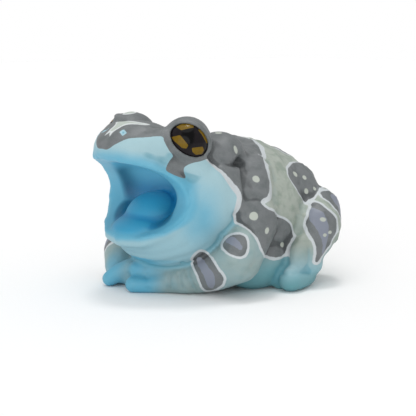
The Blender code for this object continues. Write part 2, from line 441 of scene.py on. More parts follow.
def spread(mesh, values, rounds):
    # averages values with their neighbours' along the mesh edges
    edges = np.empty(len(mesh.edges) * 2, dtype=np.int64)
    mesh.edges.foreach_get("vertices", edges)
    edges = edges.reshape(-1, 2)
    ends = np.concatenate([edges[:, 0], edges[:, 1]])
    others = np.concatenate([edges[:, 1], edges[:, 0]])
    count = len(mesh.vertices)
    total = np.bincount(ends, minlength=count)
    columns = list(values.reshape(count, -1).T)
    for turn in range(rounds):
        columns = [np.bincount(ends, weights=column[others], minlength=count) / total for column in columns]
    return np.column_stack(columns).reshape(values.shape)


# Neck rolls and brow are rubbed soft, where the value pairs fade the rubbing in and out.
rubbed = {
    "rounds": 24,
    "neckFront": (-13.0, -8.0),
    "neckBack": (14.0, 9.0),
    "neckUp": (24.0, 29.0),
    "offEyeball": (0.7, 1.6),
    "offBrow": (7.0, 4.5),
    "browUp": (38.0, 42.0),
    "brow": 0.9,
}


def rubSoft(mesh, points):
    y, z = points[:, 1], points[:, 2]
    neck = fade(y, *rubbed["neckFront"]) * fade(y, *rubbed["neckBack"]) * fade(z, *rubbed["neckUp"])
    offEye = ballDistance(mirrored(points), eyeBall["centre"], (eyeBall["radius"],) * 3)
    brow = fade(offEye, *rubbed["offEyeball"]) * fade(offEye, *rubbed["offBrow"]) * fade(z, *rubbed["browUp"])
    share = np.maximum(neck, rubbed["brow"] * brow)
    return points + (spread(mesh, points, rubbed["rounds"]) - points) * share[:, None]


# Creases pressed into both sides of the skin: depth, half width and line. A ridge has a depth below 0.
creases = {
    "mouthCorner": (0.5, 0.8, ((21, -21.5, 35), (21.5, -21.5, 33), (21, -22, 30.5))),
    "underLip": (0.55, 1.0, ((2.5, -33.5, 18), (10.5, -31.5, 19), (15, -28, 21), (18, -25, 24),
                             (20.5, -23, 27.5))),
    "upperThroat": (0.25, 1.2, ((0, -28, 13.2), (4, -27.5, 13.5), (13, -24.5, 15), (19, -20, 18))),
    "lowerThroat": (0.25, 1.2, ((0, -24, 10.2), (4, -23.5, 10.5), (13.5, -21, 12.5), (20, -14, 16.5))),
    "behindCheek": (0.8, 1.1, ((22, -13.5, 45), (22.5, -13, 42.5), (24.5, -11.5, 41), (25.5, -10, 37.5),
                               (26.2, -8, 35.5), (26.5, -7, 33), (26, -6.5, 29.5), (25.5, -7, 27))),
    "behindEye": (2.0, 1.2, ((21, -13, 44), (22.5, -11, 42.5), (23, -7.5, 42), (22.5, -4, 42),
                             (20.5, 0, 42.5))),
    "betweenRolls": (1.3, 1.2, ((20.5, 0, 42.5), (22.5, -0.5, 40), (25.5, -2.5, 37.5), (28, -4, 35),
                                (28, -4.5, 32.5), (27, -5, 30.5))),
    "topOfRolls": (0.5, 1.6, ((19.5, 0, 48), (20.5, -1, 46), (21, -1, 44), (20.5, 0, 42.5))),
    "nape": (0.4, 1.4, ((12, 4, 48.5), (15.5, 4.5, 45.5), (19, 2, 42.5))),
    "shoulder": (0.7, 1.1, ((27, -5, 30.5), (28.5, -3.5, 31.5), (29, -0.5, 31.5), (30, 1.5, 30.5))),
    "upperArm": (0.5, 1.0, ((26, -6, 24.5), (29, -4.5, 23), (31.5, -3.5, 20.5), (33, -2.5, 16.5),
                            (33.5, -4.5, 12.5), (32, -7.5, 8.5))),
    "flank": (0.6, 1.0, ((27, 25.5, 27), (28, 22, 22), (28, 20, 17.5), (26.5, 16.5, 12), (28, 11, 6.5))),
    "shin": (0.35, 0.8, ((30.5, 21, 16.5), (31.5, 20, 12.5), (31.5, 19, 7.5))),
    "ankle": (0.6, 0.9, ((29, 10.5, 6), (32.5, 13, 6.5), (32, 20, 6))),
    "underEye": (0.25, 0.9, ((16, -26.5, 47.5), (17.5, -25, 44.5), (19.5, -22, 43), (21.5, -17.5, 43.5),
                             (22.5, -14, 45.5))),
    "snout": (0.4, 1.2, ((0, -38.5, 44), (4, -37.5, 44))),
    "nostril": (0.5, 0.8, ((4.5, -34, 52.5), (4.9, -33.8, 52.5))),
    "browRidge": (-0.45, 1.5, ((1, -31, 54.5), (6.5, -29, 54), (13.5, -26.5, 54))),
    "toes": (0.7, 0.9, ((27, 11, 6.5), (27, 11, 4), (26.5, 11.5, 1))),
}
leftHandCreases = {
    "wrist": (0.7, 0.8, ((12.5, -17.5, 11), (14, -16.5, 7), (15.5, -15, 2.5))),
    "palm": (0.8, 0.8, ((11.5, -18, 7), (12, -18, 4.5), (12.5, -17.5, 2.5))),
    "knuckles": (0.4, 0.7, ((8, -19, 7), (9, -20, 5), (9, -19.5, 2))),
    "fingerRoot": (0.4, 0.7, ((8.5, -19.5, 6), (8.6, -19.5, 4), (8.5, -19.5, 1.5))),
    "fingerJoint": (0.35, 0.7, ((1, -23, 5.5), (3.5, -24, 1.5))),
}
# The back's low warts and pits, and the broad swell under them: sizes across, then heights.
warts = {
    "across": 2.6,
    "swellAcross": 6.24,
    "height": 0.3,
    "pits": 0.12,
    "swell": 0.12,
    "wartNoise": (0.0, 0.5),
    "pitNoise": (-0.1, -0.5),
    "alongBack": (-2.0, 8.0),
    "upBack": (8.0, 16.0),
    "flatFoot": (0.0, 1.2),  # nothing is pressed where the figure stands
}


def pressed(points, table):
    push = np.zeros(len(points))
    for depth, width, line in table.values():
        push -= depth * np.exp(-(lineDistance(points, line) / width) ** 2)
    return push


def pressCreases(points, normals):
    folded = mirrored(points)
    onBack = fade(points[:, 1], *warts["alongBack"]) * fade(points[:, 2], *warts["upBack"])
    elsewhere = Vector((7, 3, 1))
    lumpy = np.array([noise.noise(Vector(p) / warts["across"]) for p in folded])
    broad = np.array([noise.noise(Vector(p) / warts["swellAcross"] + elsewhere) for p in folded])
    relief = warts["height"] * fade(lumpy, *warts["wartNoise"])
    relief = relief - warts["pits"] * fade(lumpy, *warts["pitNoise"])
    push = pressed(folded, creases) + pressed(points, leftHandCreases)
    push += onBack * (relief + warts["swell"] * broad)
    return points + normals * (push * fade(points[:, 2], *warts["flatFoot"]))[:, None]


def standFlat(points):
    points[:, 2] = np.maximum(points[:, 2], 0.0)
    return points


points = standFlat(readPoints(skin.data))
writePoints(skin.data, points)
points = rubSoft(skin.data, points)
writePoints(skin.data, points)
points = standFlat(pressCreases(points, pointNormals(skin.data)))
writePoints(skin.data, points)
print("creases pressed")

# Paint outlines in mm. The slant chart is a flat sheet that faces the way the view does, 50 degrees round
# and 9 up, for the head and arms.
headPaint = {
    "mask": ((-34, 60), (-30.5, 48), (-30.5, 45), (-31, 44), (-30, 43), (-28, 42.5), (-27, 43), (-25.5, 44),
             (-23.5, 45), (-21, 46), (-17, 46), (-12, 46.5), (-10.5, 46.2), (-10.5, 45), (-9.5, 43),
             (-8.5, 41.5), (-7.5, 40.5), (-8.5, 39.5), (-9.5, 38), (-10, 36.5), (-9.5, 35.7), (-7.5, 34.7),
             (-4, 33.5), (-4, 34.5), (-4.5, 35.5), (-4.5, 37), (-3, 38), (-1.5, 38.5), (1, 39), (3, 40),
             (3.5, 39.7), (12, 42), (12, 60)),
    "streak": ((-29, 52), (-28, 52.5), (-25, 53), (-21.5, 52), (-19, 51.5), (-16.5, 51), (-14.5, 50.5),
               (-17, 50.2), (-19.5, 50.5), (-22, 50.5), (-23.5, 50), (-25, 49), (-26.5, 48), (-27, 47),
               (-27.5, 46.5), (-27.5, 47.5), (-27, 48.5), (-28, 50), (-28.5, 51)),
    "nostril": ((-24.3, 48), (-23, 49), (-21.9, 47.6), (-23.2, 46.6)),
}
armPaint = {
    "upperArm": ((10.5, 16.5), (14, 16.5), (15, 14.5), (15, 12.5), (14.5, 10.7), (13.5, 9.8), (11.5, 9.8),
                 (8.8, 11.1), (7.3, 12.6), (7.7, 14), (9, 15.5)),
    "upperArmPale": ((8.2, 14.8), (10.2, 16), (11.6, 15.4), (13.4, 13.4), (13.4, 12), (12.6, 11.6), (11, 13),
                     (8.6, 13.9)),
    "foreArm": ((0, 11), (1.2, 11), (2.5, 10.3), (4, 8.7), (5, 7), (6, 5.3), (7, 4.3), (7.8, 2.8), (7.3, 0.7),
                (5.5, -0.5), (4, -1.4), (2, -1.2), (1, -0.2), (0.1, 2.5), (-0.7, 4.5), (-2, 7), (-2, 9)),
    "foreArmPale": ((-0.8, 9), (0.6, 9.3), (2, 7.8), (3.2, 6), (4.8, 4), (5.2, 1.5), (4.4, -0.6), (3, -0.4),
                    (2, 2), (1, 4.6), (-0.6, 7)),
}
# The round chart runs round the trunk from the spine (u) and along it (v).
trunkPaint = {
    "saddle": ((-2, -24), (10, -20), (16, -17), (19, -13), (21.5, -11), (24, -9), (26, -7), (28, -6),
               (30, -6), (32.5, -6.5), (34.5, -6), (36.5, -5), (38, -3.5), (40.5, -2), (43, -1), (46, 4),
               (47.5, 10), (47, 14.5), (44, 17.5), (41, 18.5), (37.5, 16), (35, 10), (33.5, 4), (32.5, 1),
               (31, 0), (30, 1.5), (29.5, 4), (27, 6.5), (24, 6.5), (22, 7), (20, 8), (17, 11), (14, 14),
               (8, 16.5), (3, 17), (-2, 17)),
    "rear": ((17.5, 27), (19.5, 23.5), (21, 20.5), (24, 19), (27, 20.5), (31, 24.5), (33, 25), (34, 27),
             (35, 32), (32, 40), (22, 41), (17, 36), (17, 31)),
    "spine": ((-2, 27), (4, 26.5), (8, 28.5), (11, 31), (10.5, 34.5), (7, 37), (2, 39), (-2, 39)),
}
# The leg chart runs round an upright line inside the thigh (u) and up it (v).
legPaint = {
    "topBand": ((5, 30), (7.5, 30.5), (9.5, 30.4), (13, 29.5), (17, 26.5), (20, 21), (18, 17), (13, 16.5),
                (9, 19), (6, 22), (5, 24.5), (5, 27.5), (4, 28.5)),
    "topBandPale": ((8.5, 29.6), (12.5, 28.5), (15.5, 25), (16, 21), (12, 20), (8, 22.5), (6.8, 25),
                    (7, 27.5)),
    "kneeBand": ((-0.5, 27.5), (1, 27.3), (1.2, 25.5), (2.5, 23.5), (3, 19.5), (2, 15.5), (0, 12.6),
                 (-1.7, 10.3), (-4, 8.3), (-3.5, 11), (-3.5, 14), (-4, 16.5), (-5.5, 19.5), (-4.7, 23),
                 (-2.6, 26)),
    "kneeBandPale": ((-2.6, 26.2), (-1, 25.7), (-0.3, 24), (0.2, 20), (0, 15.5), (-0.9, 11.5), (-1.6, 10.8),
                     (-1.5, 14.5), (-2.5, 18), (-3.5, 21), (-4.6, 23)),
}
# Pale dots: u, v and radius.
trunkSpots = ((10, -3, 0.9), (16.5, -2, 0.85), (24.5, 2, 1.0), (34, -3, 1.1), (38, 1, 0.85), (44.5, 14, 0.85),
              (22.5, 24, 1.0), (24, 27.5, 0.8), (28.5, 26.5, 0.9), (28, 30.5, 0.7), (3, 31, 0.9), (1, 5, 0.9))
legSpots = ((-1, 22.5, 0.7), (0.6, 18.2, 0.6), (-1, 17.5, 0.6))
farBrowMark = {
    "centre": (-14.0, -18.5, 58.8),
    "stretch": (1.0, 1.3, 1.0),
    "radius": 2.9,
}
charts = {
    "trunkAxis": 20.0,
    "trunkRadius": 25.0,
    "thighAxis": (17.0, 27.0),
    "thighRadius": 12.0,
}


def slantChart(points):
    right, up, back = viewAxes()
    return np.column_stack([points @ right, points @ up])


def roundChart(points):
    around = np.arctan2(points[:, 0], points[:, 2] - charts["trunkAxis"])
    return np.column_stack([around * charts["trunkRadius"], points[:, 1]])


def legChart(points):
    axisX, axisY = charts["thighAxis"]
    around = np.arctan2(points[:, 1] - axisY, points[:, 0] - axisX)
    return np.column_stack([around * charts["thighRadius"], points[:, 2]])


def within(distance, *limits):
    # shuts a patch off outside its limits without breaking its outline
    return np.minimum.reduce([distance, *limits])


def spots(chart, marks):
    return np.maximum.reduce([radius - np.hypot(chart[:, 0] - u, chart[:, 1] - v) for u, v, radius in marks])


# Where each part of the figure begins and ends for the paint. Distances off a form are positive outside it.
zones = {
    "mouthCave": ((0, -24, 33.5), (15.5, 16.5, 11.5)),
    "mouthPan": ((0, -21, 25), (15.5, 11.5, 7.5)),
    "headFloor": 30.0,
    "headBack": -6.0,
    "armTop": 26.0,
    "armBack": 6.0,
    "armInner": 12.0,
    "armOffThroat": 0.3,
    "armSharp": 4.0,  # how steeply a limit shuts the paint off
    "foreArmTop": 15.5,
    "foreArmInner": 15.0,
    "foreArmSharp": 2.0,
    "legOffTrunk": 0.9,
    "legFront": 10.0,
    "legInner": 16.0,
    "offMouth": 2.5,
    "maskOffMouth": 0.7,
    "maskSharp": 2.0,
    "saddleFloor": 9.0,
    "streakFloor": 47.0,
    "nostrilBack": -30.0,
}


def findZones(folded):
    x, y, z = folded.T
    mouthForms = (mouth["lumps"][0][:2], zones["mouthCave"], zones["mouthPan"])
    trunkForms = [lump[:2] for lump in trunk["lumps"][:4]]
    throatForms = [lump[:2] for lump in head["lumps"][:3]]
    inMouth, offTrunk, offThroat = (np.minimum.reduce([ballDistance(folded, *form) for form in forms])
                                    for forms in (mouthForms, trunkForms, throatForms))
    foreArm = np.minimum(zones["foreArmTop"] - z, x - zones["foreArmInner"]) * zones["foreArmSharp"]
    offLip = np.maximum((offThroat - zones["armOffThroat"]) * zones["armSharp"], foreArm)
    return {
        "inMouth": inMouth,
        "offTrunk": offTrunk,
        "offThroat": offThroat,
        "onHead": within(z - zones["headFloor"], zones["headBack"] - y),
        "onArm": within(zones["armTop"] - z, zones["armBack"] - y, x - zones["armInner"], offLip),
        "onLeg": within(offTrunk - zones["legOffTrunk"], y - zones["legFront"], x - zones["legInner"]),
    }


# The white edge is this wide, and wider along the saddle's upper and cheek sides, between these places.
whiteEdge = {
    "width": 0.75,
    "upperExtra": 1.25,
    "upperRound": (32.5, 29.5),
    "upperAlong": (-3.0, 1.0),
    "cheekExtra": 0.7,
    "cheekRound": (34.0, 32.0),
    "cheekAlong": (-3.0, -5.0),
    "near": -4.0,
}


def brushPatches(points, folded, zone):
    # brushed marks as distances in mm, positive inside their outlines
    x, y, z = folded.T
    slant, rounded, leg = slantChart(folded), roundChart(folded), legChart(folded)
    offLeg = -zone["onLeg"]
    outside = zone["inMouth"] - zones["offMouth"]
    offLip = (zone["inMouth"] - zones["maskOffMouth"]) * zones["maskSharp"]
    onHead = {name: outlineDistance(slant, headPaint[name]) for name in ("mask", "streak")}
    onHead["nostril"] = outlineDistance(slant, headPaint["nostril"], 0)
    onTrunk = {name: within(outlineDistance(rounded, line), offLeg) for name, line in trunkPaint.items()}
    onArm = {name: within(outlineDistance(slant, line), zone["onArm"]) for name, line in armPaint.items()}
    onLeg = {name: within(outlineDistance(leg, line), zone["onLeg"]) for name, line in legPaint.items()}
    saddle = within(onTrunk["saddle"], z - zones["saddleFloor"], outside)
    lined = [saddle, onTrunk["rear"], onTrunk["spine"], onArm["upperArm"], onArm["foreArm"], onLeg["topBand"],
             onLeg["kneeBand"]]
    lavender = [onArm["upperArmPale"], onArm["foreArmPale"], onLeg["topBandPale"], onLeg["kneeBandPale"]]

    around = rounded[:, 0]
    upper = fade(around, *whiteEdge["upperRound"]) * fade(y, *whiteEdge["upperAlong"])
    cheek = fade(around, *whiteEdge["cheekRound"]) * fade(y, *whiteEdge["cheekAlong"])
    extra = whiteEdge["upperExtra"] * upper + whiteEdge["cheekExtra"] * cheek
    nearSaddle = (saddle > whiteEdge["near"]) & (zone["onLeg"] < 0)

    fromBrow = (points - farBrowMark["centre"]) / farBrowMark["stretch"]
    browMark = farBrowMark["radius"] - np.sqrt((fromBrow ** 2).sum(axis=1))
    return {
        "plainDark": within(onHead["mask"], zone["onHead"], offLip),
        "linedDark": np.maximum.reduce(lined),
        "lavender": np.maximum.reduce(lavender),
        "pale": np.maximum(within(spots(rounded, trunkSpots), offLeg, outside),
                           within(spots(leg, legSpots), zone["onLeg"])),
        "streak": np.maximum(within(onHead["streak"], z - zones["streakFloor"]), browMark),
        "nostril": within(onHead["nostril"], zones["nostrilBack"] - y),
        "rim": whiteEdge["width"] + np.where(nearSaddle, extra, 0.0),
    }


# Airbrushed tints, with painted shade low on the body and along the mouth's inner fold and painted light on
# the palate: the pairs fade a tint in between two places, and the single values are strengths or sizes.
tintsLightAndShade = {
    "offForms": (0.2, 1.6),
    "armFront": (0.0, 2.0),
    "armLine": (-16.0, 16.0),
    "armTop": (26.0, 22.0),
    "armBack": (6.0, 2.0),
    "backAlong": (-6.0, 4.0),
    "backUp": (4.0, 16.0),
    "backOnArm": 0.85,
    "lipReach": 2.6,
    "lipTopReach": 4.0,
    "lipTop": (34.0, 40.0),
    "cornerReach": 6.0,
    "cornerOut": (12.0, 19.0),
    "cornerUp": (22.0, 27.0),
    "cornerTop": (40.0, 36.0),
    "lipBlue": 0.9,
    "fingers": ((2.0, -26.0, 11.0), (13.0, -27.0, 12.0)),  # x, y and reach of each hand's tips
    "fingerBlue": 1.05,
    "fingerTop": 12.0,
    "fingerFade": (14.0, 11.0),
    "cheekCentre": (21.0, -17.0, 28.0),
    "cheekStretch": (1.0, 1.0, 1.5),
    "cheekFade": (12.0, 1.0),
    "cheekBlue": 0.7,
    "armBlue": 0.3,
    "footUp": (9.0, 2.0),
    "footOut": (18.0, 23.0),
    "footAlong": (6.0, 11.0),
    "bellyUp": (17.0, 5.0),
    "bellyAlong": (-8.0, 0.0),
    "bellyTeal": 0.95,
    "bellyOffTrunk": 0.85,
    "bellyEdge": (0.8, 2.0),
    "mouthEdge": (0.4, -1.8),
    "roofUp": (31.0, 38.0),
    # painted shade along the mouth's inner fold: how wide it spreads and the fold's line
    "foldWidth": 3.8,
    "fold": ((12.5, -23, 37.5), (13, -20.5, 33.5), (13.5, -20.5, 30), (13, -22, 26), (12, -24, 23.5)),
}


def paintTintsLightAndShade(folded, zone):
    # shares from 0 to 1
    x, y, z = folded.T
    inMouth, offTrunk = zone["inMouth"], zone["offTrunk"]
    lineY, lineZ = tintsLightAndShade["armLine"]
    arm = fade(np.maximum(y - lineY, lineZ - z), *tintsLightAndShade["armFront"])
    arm = arm * fade(z, *tintsLightAndShade["armTop"]) * fade(y, *tintsLightAndShade["armBack"])
    arm = arm * fade(zone["offThroat"], *tintsLightAndShade["offForms"]) * fade(offTrunk, *tintsLightAndShade["offForms"])
    back = fade(y, *tintsLightAndShade["backAlong"]) * fade(z, *tintsLightAndShade["backUp"])

    corner = fade(x, *tintsLightAndShade["cornerOut"]) * fade(z, *tintsLightAndShade["cornerUp"])
    corner = corner * fade(z, *tintsLightAndShade["cornerTop"])
    reach = tintsLightAndShade["lipReach"] + tintsLightAndShade["lipTopReach"] * fade(z, *tintsLightAndShade["lipTop"])
    reach = reach + tintsLightAndShade["cornerReach"] * corner
    lips = fade(inMouth / reach, 1.0, 0.0)
    fromTips = np.minimum.reduce([np.hypot(x - u, y - v) / size for u, v, size in tintsLightAndShade["fingers"]])
    tips = np.where(z < tintsLightAndShade["fingerTop"], np.clip(tintsLightAndShade["fingerBlue"] - fromTips, 0.0, 1.0), 0.0)
    tips = tips * fade(z, *tintsLightAndShade["fingerFade"])
    fromCheek = (folded - tintsLightAndShade["cheekCentre"]) / tintsLightAndShade["cheekStretch"]
    cheek = fade(np.sqrt((fromCheek ** 2).sum(axis=1)), *tintsLightAndShade["cheekFade"])
    blues = [tintsLightAndShade["lipBlue"] * lips, tips, tintsLightAndShade["cheekBlue"] * cheek, tintsLightAndShade["armBlue"] * arm]

    # teal on the feet and underside, laid on stronger lower down: the figure's own tint with painted shade
    foot = fade(z, *tintsLightAndShade["footUp"]) * fade(x, *tintsLightAndShade["footOut"]) * fade(y, *tintsLightAndShade["footAlong"])
    bellyShade = fade(z, *tintsLightAndShade["bellyUp"]) * fade(y, *tintsLightAndShade["bellyAlong"])
    thinned = tintsLightAndShade["bellyOffTrunk"] * fade(offTrunk, *tintsLightAndShade["bellyEdge"])
    bellyShade = bellyShade * (tintsLightAndShade["bellyTeal"] - thinned)
    deep = fade(inMouth, *tintsLightAndShade["mouthEdge"])
    # painted shade: a dark band along the mouth's inner fold
    fold = lineDistance(folded, tintsLightAndShade["fold"]) / tintsLightAndShade["foldWidth"]
    return {
        "back": np.maximum(back, tintsLightAndShade["backOnArm"] * arm),
        "blue": np.clip(np.maximum.reduce(blues), 0, 1),
        "shade": np.clip(np.maximum(foot, bellyShade), 0, 1),
        "deep": deep,
        # painted light: a paler blue high on the palate
        "roofLight": deep * fade(z, *tintsLightAndShade["roofUp"]),
        "gulletShade": deep * np.exp(-fold ** 2),
    }


# Painted shade in creases and recesses, found by how far each point sinks below its neighbours: rounds of
# averaging for narrow and wide ones, and how strongly each counts.
hollowShading = {
    "narrowRounds": 6,
    "narrow": 9.0,
    "wideRounds": 34,
    "wide": 2.2,
    "evenRounds": 2,
}


def findHollowShade(mesh, points):
    normals = pointNormals(mesh)
    near = spread(mesh, points, hollowShading["narrowRounds"])
    far = spread(mesh, near, hollowShading["wideRounds"])
    narrow = ((near - points) * normals).sum(axis=1) * hollowShading["narrow"]
    wide = ((far - points) * normals).sum(axis=1) * hollowShading["wide"]
    return spread(mesh, narrow + wide, hollowShading["evenRounds"])


def writeMarks(mesh, marks):
    for name, values in marks.items():
        attribute = mesh.attributes.new(name, "FLOAT", "POINT")
        attribute.data.foreach_set("value", values.astype(np.float32))


def toFrame(mesh):
    writePoints(mesh, readPoints(mesh) * mm + shift)
    mesh.polygons.foreach_set("use_smooth", np.ones(len(mesh.polygons), dtype=bool))
    mesh.update()


points = readPoints(skin.data)
folded = mirrored(points)
zone = findZones(folded)
writeMarks(skin.data, brushPatches(points, folded, zone))
writeMarks(skin.data, paintTintsLightAndShade(folded, zone))
# painted shade: how far each point lies down in a crease or recess
writeMarks(skin.data, {"hollowShade": findHollowShade(skin.data, points)})
toFrame(skin.data)
print("paint laid out")

# Each eye is a ball with a black pupil and four gold blocks, outlined in the slant chart from its middle.
eyeMarks = {
    "gold": (
        ((-3.4, 4.4), (-1.8, 3.3), (-0.2, 3.7), (2.0, 4.2), (1.9, 5.6), (-1.2, 5.6)),
        ((3.3, 3.5), (4.2, 3.8), (6.0, 1.7), (6.4, -0.3), (5.9, -0.6), (4.5, 1.9)),
        ((1.4, -2.1), (4.7, -1.6), (5.1, -2.7), (4.5, -3.8), (2.6, -4.1), (1.6, -3.3)),
        ((-4.8, 1.3), (-2.1, 1.8), (0.4, -1.3), (-0.2, -2.3), (-1.5, -2.1), (-4.0, 0.1)),
    ),
    "pupil": (0.3, 1.6),
    "pupilHalf": (1.3, 2.3),
    "none": -3.0,  # what a mark reads on the hidden half of the ball
}


def makeEye(name, side):
    bm = bmesh.new()
    bmesh.ops.create_uvsphere(bm, u_segments=eyeBall["segments"], v_segments=eyeBall["rings"],
                              radius=eyeBall["radius"])
    made = newObject(name, bm)
    mesh = made.data
    points = readPoints(mesh)
    flip = np.array([side, 1.0, 1.0])
    chart = slantChart(points * flip)
    outward = (points * flip) @ viewAxes()[2]
    half = eyeMarks["pupilHalf"]
    offset = (chart - eyeMarks["pupil"]) / half
    marks = {
        "gold": np.maximum.reduce([outlineDistance(chart, block, 0) for block in eyeMarks["gold"]]),
        "pupil": (1.0 - np.sqrt((offset ** 2).sum(axis=1))) * half[0],
    }
    writeMarks(mesh, {key: np.where(outward > 0, mark, eyeMarks["none"]) for key, mark in marks.items()})
    writePoints(mesh, points + np.array(eyeBall["centre"]) * flip)
    toFrame(mesh)
    return made


eyeLeft = makeEye("eyeLeft", 1)
eyeRight = makeEye("eyeRight", -1)
print("eyes made")


def linear(code):
    # sRGB hex to the linear colour the shader wants
    values = [int(code[i:i + 2], 16) / 255 for i in (1, 3, 5)]
    values = [v / 12.92 if v <= 0.04045 else ((v + 0.055) / 1.055) ** 2.4 for v in values]
    return (*values, 1.0)


def newMaterial(name):
    material = bpy.data.materials.new(name)
    material.use_nodes = True
    material.node_tree.nodes.clear()
    return material


def addNode(tree, kind, inputs=None, out=0, **settings):
    # adds a node with its settings and links, turns hex colours linear, and hands back one output
    node = tree.nodes.new("ShaderNode" + kind)
    for key, value in settings.items():
        setattr(node, key, value)
    for key, value in (inputs or {}).items():
        if isinstance(value, bpy.types.NodeSocket):
            tree.links.new(value, node.inputs[key])
        else:
            node.inputs[key].default_value = linear(value) if isinstance(value, str) else value
    return node.outputs[out] if len(node.outputs) else None


def mixPaint(tree, recipe):
    # makes a recipe's noise, marks, sums, fades and coats, each of which may name an earlier one
    place = addNode(tree, "TexCoord", out="Object")
    fields = {"metresUp": addNode(tree, "SeparateXYZ", {0: place}, out="Z")}
    for name, (size, detail, rough) in recipe["clouds"].items():
        inputs = {"Vector": place, "Scale": 1.0 / (size * mm), "Detail": detail, "Roughness": rough}
        fields[name] = addNode(tree, "TexNoise", inputs, out="Fac")
    for name in recipe["marks"]:
        fields[name] = addNode(tree, "Attribute", out="Fac", attribute_name=name)
    for name, operation, *parts in recipe["sums"]:
        inputs = {index: fields.get(part, part) for index, part in enumerate(parts)}
        fields[name] = addNode(tree, "Math", inputs, operation=operation)
    for name, field, start, end, most in recipe["fades"]:
        inputs = {"Value": fields[field], "From Min": start, "From Max": end}
        inputs["To Max"] = fields.get(most, most)
        fields[name] = addNode(tree, "MapRange", inputs, interpolation_type="SMOOTHSTEP")
    tones = dict(recipe["colours"])
    for name, share, under, over in recipe["coats"]:
        inputs = {"Factor": fields[share], 6: tones[under], 7: tones[over]}
        tones[name] = addNode(tree, "Mix", inputs, out=2, data_type="RGBA")
    return fields, tones


